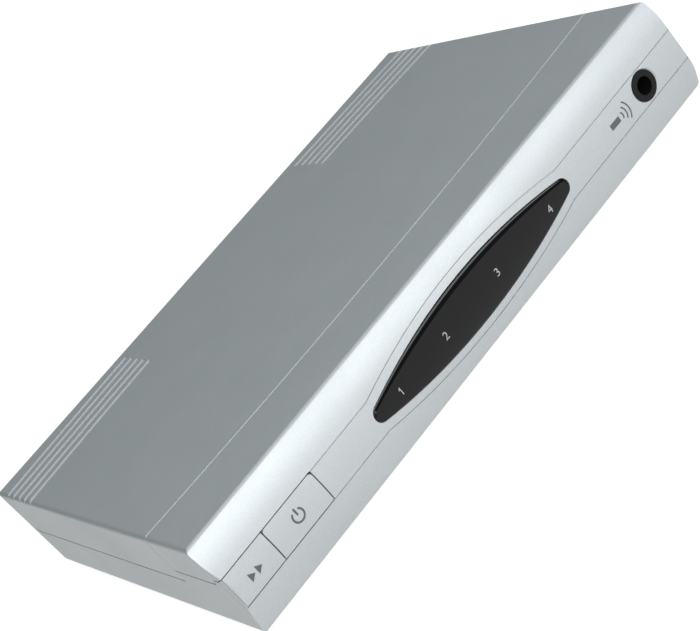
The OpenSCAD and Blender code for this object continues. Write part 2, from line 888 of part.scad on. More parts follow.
// Remote socket: housing, collar and bore, with slots for two side springs and an end spring
module remote_jack() {
    back = jack_body_y + jack_len;
    color(black) difference() {
        union() {
            rod_y(jack_collar_r, jack_face_y, jack_body_y + cut, jack_x, axis_z);
            box(
                [jack_x - jack_body_w / 2, jack_body_y, board_z],
                [jack_x + jack_body_w / 2, back, jack_top_z]
            );
        }
        rod_y(jack_bore_r, jack_face_y - cut, back - jack_end_t, jack_x, axis_z);
        for (sx = [-1, 1]) translate([jack_x, 0, axis_z]) scale([sx, 1, 1])
            box(
                [0, back - jack_end_t - contact_len, -contact_w / 2],
                [jack_bore_r + contact_t + jack_fit, back - jack_end_t, contact_w / 2]
            );
        box(
            [jack_x - contact_w / 2, back - jack_end_t - cut, axis_z - jack_bore_r / 2],
            [jack_x + contact_w / 2, back - jack_end_t + contact_t, axis_z + jack_bore_r / 2]
        );
    }
}

// Springs of the remote socket, clear of its bore
module remote_jack_contacts() {
    back = jack_body_y + jack_len - jack_end_t;
    color(gold) {
        for (sx = [-1, 1]) translate([jack_x, 0, axis_z]) scale([sx, 1, 1])
            box(
                [jack_bore_r + jack_fit, back - contact_len, -contact_w / 2],
                [jack_bore_r + jack_fit + contact_t, back, contact_w / 2]
            );
        box(
            [jack_x - contact_w / 2, back, axis_z - jack_bore_r / 2],
            [jack_x + contact_w / 2, back + contact_t, axis_z + jack_bore_r / 2]
        );
    }
}

// Circuit board, notched round the posts and drilled for its screws
module main_board() {
    color(board_green) difference() {
        box([-board_half_w, board_front, board_low_z], [board_half_w, board_back, board_z]);
        for (p = post_spots) {
            translate([p.x, p.y, 0]) cylinder(r = post_r + post_clear, h = top_z);
            translate([p.x + sign(p.x) * case_w / 2, p.y, board_z])
                cube([case_w, 2 * (post_r + post_clear), 4 * board_t], center = true);
        }
        for (p = board_spots)
            translate([p.x, p.y, 0]) cylinder(r = board_screw_r + case_hole_gap, h = top_z);
    }
}

// Metal shell of a rear socket
module socket_shell(x) {
    color(steel) along_y(socket_end_y, socket_mouth_y) difference() {
        socket_outline(x);
        socket_outline(x, -shell_t);
    }
}

// Dark block and tongue inside a rear socket
module socket_insert(x) {
    color(black) {
        along_y(socket_end_y, socket_end_y + insert_block) socket_outline(x, -shell_t);
        box(
            [x - tongue_w / 2, socket_end_y + insert_block / 2, tongue_z - tongue_t / 2],
            [x + tongue_w / 2, socket_mouth_y - tongue_set_back, tongue_z + tongue_t / 2]
        );
    }
}

// Row of contact pads on one face of a socket's tongue
module pad_row(x, count, z) {
    end = socket_mouth_y - tongue_set_back - pad_w;
    for (i = [0:count - 1]) {
        pad_x = x + (i - (count - 1) / 2) * pad_pitch;
        box([pad_x - pad_w / 2, end - pad_len, z], [pad_x + pad_w / 2, end, z + pad_t]);
    }
}

// Contact pads of a rear socket
module socket_contacts(x) {
    color(gold) {
        pad_row(x, pads_above, tongue_z + tongue_t / 2);
        pad_row(x, pads_below, tongue_z - tongue_t / 2 - pad_t);
    }
}

// Power inlet: square flange, round-topped barrel, bore and spring slot
module dc_jack() {
    body_y = dc_face_y - dc_len;
    color(black) difference() {
        union() {
            box(
                [dc_x - dc_w / 2, dc_face_y - dc_flange, board_z],
                [dc_x + dc_w / 2, dc_face_y, dc_top_z]
            );
            rod_y(dc_w / 2, body_y, dc_face_y - cut, dc_x, dc_z);
            box([dc_x - dc_w / 2, body_y, board_z], [dc_x + dc_w / 2, dc_face_y - cut, dc_z]);
        }
        rod_y(dc_bore_r, dc_face_y - dc_bore_len, dc_face_y + cut, dc_x, dc_z);
        box(
            [dc_x - spring_w / 2, dc_face_y - dc_bore_len, dc_z - dc_bore_r - spring_drop],
            [dc_x + spring_w / 2, dc_face_y - dc_bore_len + spring_len, dc_z - dc_bore_r / 2]
        );
    }
}

// Centre pin of the power inlet
module dc_jack_pin() {
    tip_y = dc_face_y - dc_pin_set_back - dc_pin_r;
    color(steel) {
        rod_y(dc_pin_r, dc_face_y - dc_bore_len, tip_y, dc_x, dc_z);
        translate([dc_x, tip_y, dc_z]) sphere(dc_pin_r);
    }
}

// Barrel spring of the power inlet
module dc_jack_spring() {
    low = dc_z - dc_bore_r - spring_drop;
    color(steel) box(
        [dc_x - spring_w / 2, dc_face_y - dc_bore_len, low],
        [dc_x + spring_w / 2, dc_face_y - dc_bore_len + spring_len, low + spring_t]
    );
}

// One round indicator with its flange and two bent leads
module led(i) {
    x = lens_x + led_places[i];
    flange_back_y = holder_back_y + led_flange_t;
    color([0.75, 0.9, 0.75]) {
        rod_y(led_r, holder_front_y + led_r / 2, holder_back_y + led_flange_t / 2, x, axis_z);
        translate([x, holder_front_y + led_r / 2, axis_z]) sphere(led_r);
        rod_y(led_flange_r, holder_back_y, flange_back_y, x, axis_z);
        for (sx = [-1, 1]) {
            lead_x = x + sx * lead_pitch;
            box(
                [lead_x - lead_t / 2, flange_back_y - lead_t, axis_z - lead_t / 2],
                [lead_x + lead_t / 2, flange_back_y + 2 * lead_t, axis_z + lead_t / 2]
            );
            box(
                [lead_x - lead_t / 2, flange_back_y + lead_t, board_z],
                [lead_x + lead_t / 2, flange_back_y + 2 * lead_t, axis_z + lead_t / 2]
            );
        }
    }
}

// Block on the board that holds the indicators apart
module led_holder() {
    x0 = lens_x + led_places[0] - holder_margin;
    x1 = lens_x + led_places[3] + holder_margin;
    color(black) difference() {
        box([x0, holder_front_y, board_z], [x1, holder_back_y, holder_top_z]);
        for (place = led_places)
            rod_y(led_r + led_fit, holder_front_y - cut, holder_back_y + cut, lens_x + place, axis_z);
    }
}

// Flat package with a row of legs on two or four sides
module chip(x, y, size, legs, pitch, four_sides = false) {
    leg_w = pitch * 0.4;
    leg_out = 1;
    leg_in = 0.3;
    leg_h = size.z * 0.3;
    translate([x, y, board_z]) {
        translate([-size.x / 2, -size.y / 2, size.z * 0.1]) cube([size.x, size.y, size.z * 0.9]);
        for (turn = four_sides ? [0, 90, 180, 270] : [0, 180], i = [0:legs - 1])
            rotate(turn) translate([(i - (legs - 1) / 2) * pitch - leg_w / 2, -size.y / 2 - leg_out, 0])
            cube([leg_w, leg_out + leg_in, leg_h]);
    }
}

// Large chip that routes the chosen input to the output
module switch_chip() {
    size = [switch_chip_w, switch_chip_w, package_h];
    color(black) chip(switch_chip_x, switch_chip_y, size, 16, switch_chip_pitch, true);
}

// Small controller that reads the keys and the remote socket
module controller_chip() {
    size = [controller_w, controller_d, controller_h];
    color(black) chip(controller_x, controller_y, size, 10, leg_pitch);
}

// One identity memory beside each input socket
module memory_chips() {
    size = [memory_w, memory_d, package_h];
    color(black) for (i = [0:input_count - 1])
        chip(input_x(i), socket_end_y - memory_gap, size, 4, leg_pitch);
}

// Voltage regulator behind the power inlet
module regulator() {
    size = [regulator_w, regulator_d, package_h];
    color(black) chip(regulator_in - half_w, supply_y, size, 3, regulator_pitch);
}

// Upright can crystal beside the controller
module crystal() {
    color(steel) translate([crystal_x, controller_y, board_z]) linear_extrude(crystal_h)
        round_rect(crystal_len, 2 * crystal_r, crystal_r * 0.98);
}

// Two upright filter capacitors on square bases
module filter_capacitors() {
    base = [capacitor_base_w, capacitor_base_w, capacitor_base_h];
    color(steel) for (i = [0, 1])
        translate([capacitor_in + i * capacitor_pitch - half_w, supply_y, board_z]) {
            translate([-base.x / 2, -base.y / 2, 0]) cube(base);
            cylinder(r = capacitor_r, h = capacitor_h);
        }
}

// Screw along +Z from its head's seat, with a cross in the head
module screw(shank_r, shank_len, head_r, head_h) {
    cross_len = head_r * 1.4;
    difference() {
        union() {
            cylinder(r = shank_r, h = shank_len);
            translate([0, 0, -head_h]) cylinder(r = head_r, h = head_h);
        }
        for (a = [0, 90]) rotate(a)
            translate([-cross_len / 2, -cross_w / 2, -head_h - cut])
            cube([cross_len, cross_w, cross_depth + cut]);
    }
}

// Screws that hold the board down on its bosses
module board_screws() {
    color(steel) for (p = board_spots)
        translate([p.x, p.y, board_z]) mirror([0, 0, 1])
        screw(board_screw_r, board_z - floor_z - screw_end_gap, board_head_r, board_head_h);
}

// Screws that pull the top cover down on the tray
module case_screws() {
    color(steel) for (p = post_spots)
        translate([p.x, p.y, case_seat_z]) screw(case_screw_r, case_screw_len, case_head_r, case_head_h);
}

// Four rubber feet in their shallow seats
module rubber_feet() {
    color([0.1, 0.1, 0.1]) for (p = foot_spots) translate([p.x, p.y, 0]) {
        cylinder(r1 = foot_r - foot_taper, r2 = foot_r, h = foot_h);
        translate([0, 0, foot_h]) cylinder(r = foot_r, h = foot_seat);
    }
}

top_cover();
front_hood();
bottom_case();
front_fascia();
display_lens();
select_button();
power_button();
push_switch(select_x);  // select_switch
push_plunger(select_x);  // select_switch_plunger
push_switch(power_x);  // power_switch
push_plunger(power_x);  // power_switch_plunger
remote_jack();
remote_jack_contacts();
main_board();
for (i = [0:input_count - 1]) {
    socket = str("input_socket_", i + 1);
    socket_shell(input_x(i));
    socket_insert(input_x(i));
    socket_contacts(input_x(i));
}
socket_shell(output_x);  // output_socket_shell
socket_insert(output_x);  // output_socket_insert
socket_contacts(output_x);  // output_socket_contacts
dc_jack();
dc_jack_pin();
dc_jack_spring();
for (i = [0:len(led_places) - 1])
    led(i);
led_holder();
switch_chip();
controller_chip();
memory_chips();
regulator();
crystal();
filter_capacitors();
board_screws();
case_screws();
rubber_feet();
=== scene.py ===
"""Looks of a small silver video switch box: finishes, printed marks, camera and studio light."""

import json
import logging
import math
from collections.abc import Callable
from dataclasses import dataclass, field
from enum import Enum

import bmesh
import bpy
from mathutils import Matrix, Vector


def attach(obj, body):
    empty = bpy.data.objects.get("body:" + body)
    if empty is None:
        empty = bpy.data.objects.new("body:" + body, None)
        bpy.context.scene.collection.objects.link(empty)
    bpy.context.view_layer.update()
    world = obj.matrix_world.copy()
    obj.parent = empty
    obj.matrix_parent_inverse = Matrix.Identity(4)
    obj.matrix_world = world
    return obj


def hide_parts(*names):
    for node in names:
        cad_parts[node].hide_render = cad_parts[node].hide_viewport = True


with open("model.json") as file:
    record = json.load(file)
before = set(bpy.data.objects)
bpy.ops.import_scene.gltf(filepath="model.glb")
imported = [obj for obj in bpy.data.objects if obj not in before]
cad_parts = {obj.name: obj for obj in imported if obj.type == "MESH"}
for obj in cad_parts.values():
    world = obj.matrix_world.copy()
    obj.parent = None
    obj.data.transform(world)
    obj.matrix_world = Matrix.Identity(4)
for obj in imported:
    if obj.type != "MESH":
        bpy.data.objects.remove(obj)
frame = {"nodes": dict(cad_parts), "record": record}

Colour = tuple[float, float, float]
Point = tuple[float, float]
Outline = list[Point]
Placing = Callable[[Vector], tuple[Vector, Vector]]

LOG = logging.getLogger("switch_box")
MM = 0.001
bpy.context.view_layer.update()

# Angles in degrees
UP = 90.0
HALF_TURN = 180.0
TURN = 360.0

# Millimetres within which two points are one, or a point lies on a cut
MERGE = 1e-5
SNAP = 1e-3

# Sockets of a mix node, whose values and colours share their names
MIX_FACTOR = 0
VALUE_A, VALUE_B, VALUE_OUT = 2, 3, 0
COLOUR_A, COLOUR_B, COLOUR_OUT = 6, 7, 2


class Side(Enum):
    """Face of the case that carries a printed mark."""

    FRONT = "front"
    BACK = "back"


class Wiring:
    """Short calls that place and join the nodes of one shader tree."""

    def __init__(self, tree: bpy.types.NodeTree) -> None:
        """Start on an emptied tree.

        Args:
            tree: The material's or group's node tree.
        """
        self.tree = tree
        tree.nodes.clear()

    def add(self, kind: str, **values: object) -> bpy.types.Node:
        """Place a node and set its plain values.

        Args:
            kind: The node's type name.
            values: Node attributes, or input sockets by name with _ for spaces.

        Returns:
            The new node.
        """
        node = self.tree.nodes.new(kind)
        for key, value in values.items():
            if hasattr(node, key):
                setattr(node, key, value)
            else:
                node.inputs[key.replace("_", " ")].default_value = value
        return node

    def join(self, source: bpy.types.NodeSocket, target: bpy.types.NodeSocket) -> None:
        """Link an output to an input."""
        self.tree.links.new(source, target)

    def group(self, tree: bpy.types.NodeTree, **values: float) -> bpy.types.Node:
        """Place a shared effect with its own values.

        Args:
            tree: The effect's group.
            values: Its input values, by name.

        Returns:
            The group node.
        """
        node = self.tree.nodes.new("ShaderNodeGroup")
        node.node_tree = tree
        for key, value in values.items():
            node.inputs[key].default_value = value
        return node


class Effects:
    """Surface effects that several finishes share, each built once as a node group."""

    def __init__(self) -> None:
        """Build the groups."""
        self.grain = self._grain()
        self.flakes = self._flakes()
        self.lines = self._lines()

    @staticmethod
    def _start(
        name: str, inputs: dict[str, float], outputs: list[str]
    ) -> tuple[Wiring, bpy.types.Node, bpy.types.Node]:
        """Open a group with named float sockets.

        Args:
            name: The group's name.
            inputs: Input names with their usual values.
            outputs: Output names.

        Returns:
            The wiring and the group's input and output nodes.
        """
        tree = bpy.data.node_groups.new(name, "ShaderNodeTree")
        for key, value in inputs.items():
            socket = tree.interface.new_socket(key, in_out="INPUT", socket_type="NodeSocketFloat")
            socket.default_value = value
        for key in outputs:
            tree.interface.new_socket(key, in_out="OUTPUT", socket_type="NodeSocketFloat")
        wiring = Wiring(tree)
        return wiring, wiring.add("NodeGroupInput"), wiring.add("NodeGroupOutput")

    def _grain(self) -> bpy.types.NodeTree:
        """Build the fine grain and broad mottle of a moulded or cast surface.

        Returns:
            A group with Grain and Mottle outputs.
        """
        wiring, start, end = self._start(
            "surface_grain", {"Fine": 9000.0, "Broad": 60.0}, ["Grain", "Mottle"]
        )
        place = wiring.add("ShaderNodeTexCoord")
        for scale, detail, result in (("Fine", 1.0, "Grain"), ("Broad", 3.0, "Mottle")):
            noise = wiring.add("ShaderNodeTexNoise", Detail=detail, Roughness=0.55)
            wiring.join(place.outputs["Object"], noise.inputs["Vector"])
            wiring.join(start.outputs[scale], noise.inputs["Scale"])
            wiring.join(noise.outputs["Fac"], end.inputs[result])
        return wiring.tree

    def _flakes(self) -> bpy.types.NodeTree:
        """Build the random brightness of metal flakes in paint.

        Returns:
            A group with a Flake output.
        """
        wiring, start, end = self._start("metal_flakes", {"Scale": 7000.0}, ["Flake"])
        place = wiring.add("ShaderNodeTexCoord")
        cells = wiring.add("ShaderNodeTexVoronoi")
        split = wiring.add("ShaderNodeSeparateColor")
        wiring.join(place.outputs["Object"], cells.inputs["Vector"])
        wiring.join(start.outputs["Scale"], cells.inputs["Scale"])
        wiring.join(cells.outputs["Color"], split.inputs["Color"])
        wiring.join(split.outputs["Red"], end.inputs["Flake"])
        return wiring.tree

    def _lines(self) -> bpy.types.NodeTree:
        """Build the drawn lines of rolled or turned metal, stretched along Y.

        Returns:
            A group with a Line output.
        """
        wiring, start, end = self._start(
            "drawn_lines", {"Scale": 5000.0, "Stretch": 0.03}, ["Line"]
        )
        place = wiring.add("ShaderNodeTexCoord")
        stretch = wiring.add("ShaderNodeCombineXYZ", X=1.0, Z=1.0)
        scale = wiring.add("ShaderNodeVectorMath", operation="MULTIPLY")
        noise = wiring.add("ShaderNodeTexNoise", Detail=2.0)
        wiring.join(start.outputs["Stretch"], stretch.inputs["Y"])
        wiring.join(place.outputs["Object"], scale.inputs[0])
        wiring.join(stretch.outputs["Vector"], scale.inputs[1])
        wiring.join(scale.outputs["Vector"], noise.inputs["Vector"])
        wiring.join(start.outputs["Scale"], noise.inputs["Scale"])
        wiring.join(noise.outputs["Fac"], end.inputs["Line"])
        return wiring.tree


@dataclass(frozen=True)
class Finish:
    """One surface finish: two close tones, a roughness span and a fine relief."""

    name: str
    dark: Colour
    light: Colour
    roughness: tuple[float, float]
    metallic: float = 0.0
    specular: float = 0.5
    coat: float = 0.0
    coat_roughness: float = 0.2
    fine: float = 6000.0
    broad: float = 80.0
    relief: float = 0.1
    relief_depth: float = 0.01 * MM
    mottle_span: tuple[float, float] = (0.3, 0.7)

    def tone(self, wiring: Wiring, effects: Effects, grain: bpy.types.Node) -> bpy.types.NodeSocket:
        """Give the 0 to 1 value that mixes the two tones.

        Args:
            wiring: The material's wiring.
            effects: The shared groups.
            grain: This material's grain group node.

        Returns:
            The socket that carries the value.
        """
        return grain.outputs["Mottle"]

    def material(self, effects: Effects) -> bpy.types.Material:
        """Build the finish as a material.

        Args:
            effects: The shared groups.

        Returns:
            The material.
        """
        material = bpy.data.materials.new(self.name)
        material.use_nodes = True
        wiring = Wiring(material.node_tree)
        out = wiring.add("ShaderNodeOutputMaterial")
        shader = wiring.add(
            "ShaderNodeBsdfPrincipled",
            Metallic=self.metallic,
            Specular_IOR_Level=self.specular,
            Coat_Weight=self.coat,
            Coat_Roughness=self.coat_roughness,
        )
        grain = wiring.group(effects.grain, Fine=self.fine, Broad=self.broad)
        tones = wiring.add("ShaderNodeMix", data_type="RGBA")
        tones.inputs[COLOUR_A].default_value = (*self.dark, 1.0)
        tones.inputs[COLOUR_B].default_value = (*self.light, 1.0)
        gloss = wiring.add(
            "ShaderNodeMapRange",
            From_Min=self.mottle_span[0],
            From_Max=self.mottle_span[1],
            To_Min=self.roughness[0],
            To_Max=self.roughness[1],
        )
        bump = wiring.add("ShaderNodeBump", Strength=self.relief, Distance=self.relief_depth)
        wiring.join(self.tone(wiring, effects, grain), tones.inputs[MIX_FACTOR])
        wiring.join(tones.outputs[COLOUR_OUT], shader.inputs["Base Color"])
        wiring.join(grain.outputs["Mottle"], gloss.inputs["Value"])
        wiring.join(gloss.outputs["Result"], shader.inputs["Roughness"])
        wiring.join(grain.outputs["Grain"], bump.inputs["Height"])
        wiring.join(bump.outputs["Normal"], shader.inputs["Normal"])
        wiring.join(shader.outputs["BSDF"], out.inputs["Surface"])
        return material


@dataclass(frozen=True)
class FlakePaint(Finish):
    """Silver paint: metal flakes of slightly different brightness under a satin lacquer."""

    flake_scale: float = 7000.0
    flake_share: float = 0.6

    def tone(self, wiring: Wiring, effects: Effects, grain: bpy.types.Node) -> bpy.types.NodeSocket:
        """Mix the flakes into the mottle.

        Args:
            wiring: The material's wiring.
            effects: The shared groups.
            grain: This material's grain group node.

        Returns:
            The socket that carries the value.
        """
        flakes = wiring.group(effects.flakes, Scale=self.flake_scale)
        mix = wiring.add("ShaderNodeMix", Factor=self.flake_share)
        wiring.join(grain.outputs["Mottle"], mix.inputs[VALUE_A])
        wiring.join(flakes.outputs["Flake"], mix.inputs[VALUE_B])
        return mix.outputs[VALUE_OUT]


@dataclass(frozen=True)
class DrawnMetal(Finish):
    """Plated or rolled metal with fine lines along its length."""

    metallic: float = 1.0
    line_scale: float = 5000.0

    def tone(self, wiring: Wiring, effects: Effects, grain: bpy.types.Node) -> bpy.types.NodeSocket:
        """Take the tone from the drawn lines.

        Args:
            wiring: The material's wiring.
            effects: The shared groups.
            grain: This material's grain group node.

        Returns:
            The socket that carries the value.
        """
        return wiring.group(effects.lines, Scale=self.line_scale).outputs["Line"]


FINISHES: dict[str, Finish] = {
    finish.name: finish
    for finish in (
        FlakePaint(
            "silver_paint",
            (0.50, 0.53, 0.545),
            (0.60, 0.63, 0.645),
            (0.40, 0.47),
            metallic=0.25,
            coat=0.15,
            coat_roughness=0.3,
        ),
        Finish(
            "window_black",
            (0.002, 0.002, 0.003),
            (0.004, 0.004, 0.005),
            (0.05, 0.09),
            specular=0.26,
            relief=0.02,
        ),
        Finish(
            "moulding_black",
            (0.006, 0.006, 0.007),
            (0.012, 0.012, 0.013),
            (0.32, 0.42),
            specular=0.15,
            relief=0.2,
        ),
        Finish("plunger_ivory", (0.60, 0.56, 0.46), (0.70, 0.66, 0.56), (0.40, 0.50)),
        DrawnMetal("contact_gold", (0.66, 0.44, 0.15), (0.80, 0.57, 0.22), (0.20, 0.32)),
        Finish("board_green", (0.010, 0.075, 0.028), (0.016, 0.11, 0.042), (0.25, 0.38), coat=0.2),
        DrawnMetal("socket_steel", (0.50, 0.50, 0.49), (0.66, 0.66, 0.65), (0.22, 0.36)),
        DrawnMetal("pin_steel", (0.56, 0.56, 0.55), (0.68, 0.68, 0.67), (0.12, 0.22)),
        Finish("indicator_clear", (0.56, 0.66, 0.56), (0.66, 0.76, 0.66), (0.12, 0.25), coat=0.3),
        Finish(
            "chip_black",
            (0.012, 0.012, 0.013),
            (0.022, 0.022, 0.023),
            (0.50, 0.62),
            relief=0.3,
        ),
        DrawnMetal("can_aluminium", (0.60, 0.61, 0.62), (0.72, 0.73, 0.74), (0.25, 0.38)),
        DrawnMetal("screw_steel", (0.36, 0.36, 0.35), (0.48, 0.48, 0.47), (0.30, 0.45)),
        Finish(
            "foot_rubber",
            (0.010, 0.010, 0.010),
            (0.018, 0.018, 0.018),
            (0.70, 0.85),
            relief=0.4,
        ),
    )
}
WHITE_INK = Finish("white_ink", (0.42, 0.43, 0.45), (0.50, 0.51, 0.53), (0.45, 0.55), specular=0.2)
GREY_INK = Finish("grey_ink", (0.10, 0.105, 0.11), (0.13, 0.135, 0.14), (0.45, 0.55))


@dataclass
class PhotoCamera:
    """Camera at the photograph's viewing angle, which is rolled so that the box lies aslant."""

    place: Vector = field(default_factory=lambda: Vector((-122.0619, -303.1968, 143.4819)) * MM)
    right: Vector = field(default_factory=lambda: Vector((0.601887, -0.511829, -0.612996)))
    up: Vector = field(default_factory=lambda: Vector((0.721736, 0.020097, 0.691876)))
    forward: Vector = field(default_factory=lambda: Vector((0.341803, 0.858853, -0.381501)))
    lens_mm: float = 91.0547
    sensor_mm: float = 36.0
    near_clip: float = 0.01

    def build(self) -> bpy.types.Object:
        """Place the camera and make it the scene's own.

        Returns:
            The camera object.
        """
        data = bpy.data.cameras.new("photo_camera")
        data.lens = self.lens_mm
        data.sensor_width = self.sensor_mm
        data.clip_start = self.near_clip
        camera = bpy.data.objects.new("photo_camera", data)
        turn = Matrix((self.right, self.up, -self.forward)).transposed()
        camera.matrix_world = Matrix.Translation(self.place) @ turn.to_4x4()
        bpy.context.scene.collection.objects.link(camera)
        bpy.context.scene.camera = camera
        return camera


@dataclass(frozen=True)
class Softbox:
    """One square soft lamp, aimed at the middle of the box."""

    name: str
    azimuth: float
    elevation: float
    distance: float
    size: float
    watts: float

    def build(self, target: Vector) -> bpy.types.Object:
        """Hang the lamp.

        Args:
            target: The point it faces.

        Returns:
            The lamp object.
        """
        data = bpy.data.lights.new(self.name, "AREA")
        data.energy = self.watts
        data.size = self.size
        lamp = bpy.data.objects.new(self.name, data)
        a, e = math.radians(self.azimuth), math.radians(self.elevation)
        away = Vector((math.sin(a) * math.cos(e), -math.cos(a) * math.cos(e), math.sin(e)))
        lamp.location = target + away * self.distance
        lamp.rotation_euler = away.to_track_quat("Z", "Y").to_euler()
        lamp.visible_camera = False
        bpy.context.scene.collection.objects.link(lamp)
        return lamp


@dataclass
class Studio:
    """Pale floor, an even pale surround and soft lamps, in metres."""

    target: Vector = field(default_factory=lambda: Vector((0.0, 0.0, 0.012)))
    surround: Colour = (0.88, 0.98, 1.0)
    surround_level: float = 0.22
    floor_half: float = 4.0
    floor_colour: Colour = (0.45, 0.45, 0.45)
    floor_glow: float = 0.86
    lamps: tuple[Softbox, ...] = (
        Softbox("front_softbox", azimuth=21.0, elevation=22.0, distance=1.2, size=0.6, watts=6.2),
        Softbox(
            "near_softbox", azimuth=-16.0, elevation=22.0, distance=0.45, size=0.25, watts=0.72
        ),
        Softbox("top_softbox", azimuth=0.0, elevation=88.0, distance=1.2, size=1.0, watts=1.8),
    )

    def build(self) -> None:
        """Make the world, the floor and the lamps."""
        self._world()
        self._floor()
        for lamp in self.lamps:
            lamp.build(self.target)

    def _world(self) -> None:
        """Set the even surround."""
        world = bpy.data.worlds.new("pale_surround")
        bpy.context.scene.world = world
        world.use_nodes = True
        wiring = Wiring(world.node_tree)
        sky = wiring.add(
            "ShaderNodeBackground", Color=(*self.surround, 1.0), Strength=self.surround_level
        )
        out = wiring.add("ShaderNodeOutputWorld")
        wiring.join(sky.outputs["Background"], out.inputs["Surface"])

    def _floor(self) -> None:
        """Lay the floor: a pale sheet that looks white and still takes the box's shadow."""
        mesh = bpy.data.meshes.new("studio_floor")
        h = self.floor_half
        mesh.from_pydata([(-h, -h, 0), (h, -h, 0), (h, h, 0), (-h, h, 0)], [], [(0, 1, 2, 3)])
        floor = bpy.data.objects.new("studio_floor", mesh)
        bpy.context.scene.collection.objects.link(floor)
        material = bpy.data.materials.new("floor_paper")
        material.use_nodes = True
        wiring = Wiring(material.node_tree)
        out = wiring.add("ShaderNodeOutputMaterial")
        paper = wiring.add("ShaderNodeBsdfDiffuse", Color=(*self.floor_colour, 1.0))
        glow = wiring.add("ShaderNodeEmission")
        path = wiring.add("ShaderNodeLightPath")
        seen = wiring.add("ShaderNodeMath", operation="MAXIMUM")
        shown = wiring.add("ShaderNodeMath", operation="MAXIMUM")
        level = wiring.add("ShaderNodeMath", operation="MULTIPLY")
        both = wiring.add("ShaderNodeAddShader")
        level.inputs[1].default_value = self.floor_glow
        wiring.join(path.outputs["Is Camera Ray"], seen.inputs[0])
        wiring.join(path.outputs["Is Glossy Ray"], seen.inputs[1])
        wiring.join(seen.outputs[0], shown.inputs[0])
        wiring.join(path.outputs["Is Transmission Ray"], shown.inputs[1])
        wiring.join(shown.outputs[0], level.inputs[0])
        wiring.join(level.outputs[0], glow.inputs["Strength"])
        wiring.join(paper.outputs[0], both.inputs[0])
        wiring.join(glow.outputs[0], both.inputs[1])
        wiring.join(both.outputs[0], out.inputs["Surface"])
        mesh.materials.append(material)


@dataclass(frozen=True)
class FrontCurve:
    """Round front of the case, as the solids have it, in millimetres."""

    apex_z: float = 13.6
    arc_y: float = -24.325
    radius: float = 21.675

    def y(self, z: float, depth: float = 0.0) -> float:
        """Give the Y at a height, at a depth below the front."""
        return self.arc_y - math.sqrt((self.radius - depth) ** 2 - (z - self.apex_z) ** 2)


def closed_layer(
    name: str, flat: bmesh.types.BMesh, place: Placing, step: float = 0.25
) -> bpy.types.Mesh:
    """Cut a flat form into level strips, lay it on a face and close it to a thin solid.

    Args:
        name: The mesh's name.
        flat: The form in X and Z, in millimetres, with a depth as Y. It is used up.
        place: Gives the outer and inner point of a point of the form.
        step: Height of a strip.

    Returns:
        The solid, in metres.
    """
    bmesh.ops.remove_doubles(flat, verts=flat.verts[:], dist=MERGE)
    low = min(v.co.z for v in flat.verts)
    high = max(v.co.z for v in flat.verts)
    for i in range(1, math.ceil((high - low) / step)):
        bmesh.ops.bisect_plane(
            flat,
            geom=flat.verts[:] + flat.edges[:] + flat.faces[:],
            dist=SNAP,
            plane_co=(0.0, 0.0, low + i * step),
            plane_no=(0.0, 0.0, 1.0),
        )
    bmesh.ops.triangulate(flat, faces=flat.faces[:])
    solid = bmesh.new()
    pairs = {}
    for v in flat.verts:
        outer, inner = place(v.co)
        pairs[v] = (solid.verts.new(outer * MM), solid.verts.new(inner * MM))
    for face in flat.faces:
        solid.faces.new([pairs[v][0] for v in face.verts])
        solid.faces.new([pairs[v][1] for v in reversed(face.verts)])
    for edge in flat.edges:
        if edge.is_boundary:
            a, b = edge.verts
            solid.faces.new((pairs[a][0], pairs[b][0], pairs[b][1], pairs[a][1]))
    bmesh.ops.recalc_face_normals(solid, faces=solid.faces[:])
    mesh = bpy.data.meshes.new(name)
    solid.to_mesh(mesh)
    solid.free()
    flat.free()
    return mesh


@dataclass(frozen=True)
class RimStrip:
    """One strip of the window's rim.

    Attributes:
        width: Its mean width.
        extra: How much wider it is above.
        faces: How far up it faces there, in degrees.
    """

    width: float
    extra: float
    faces: float


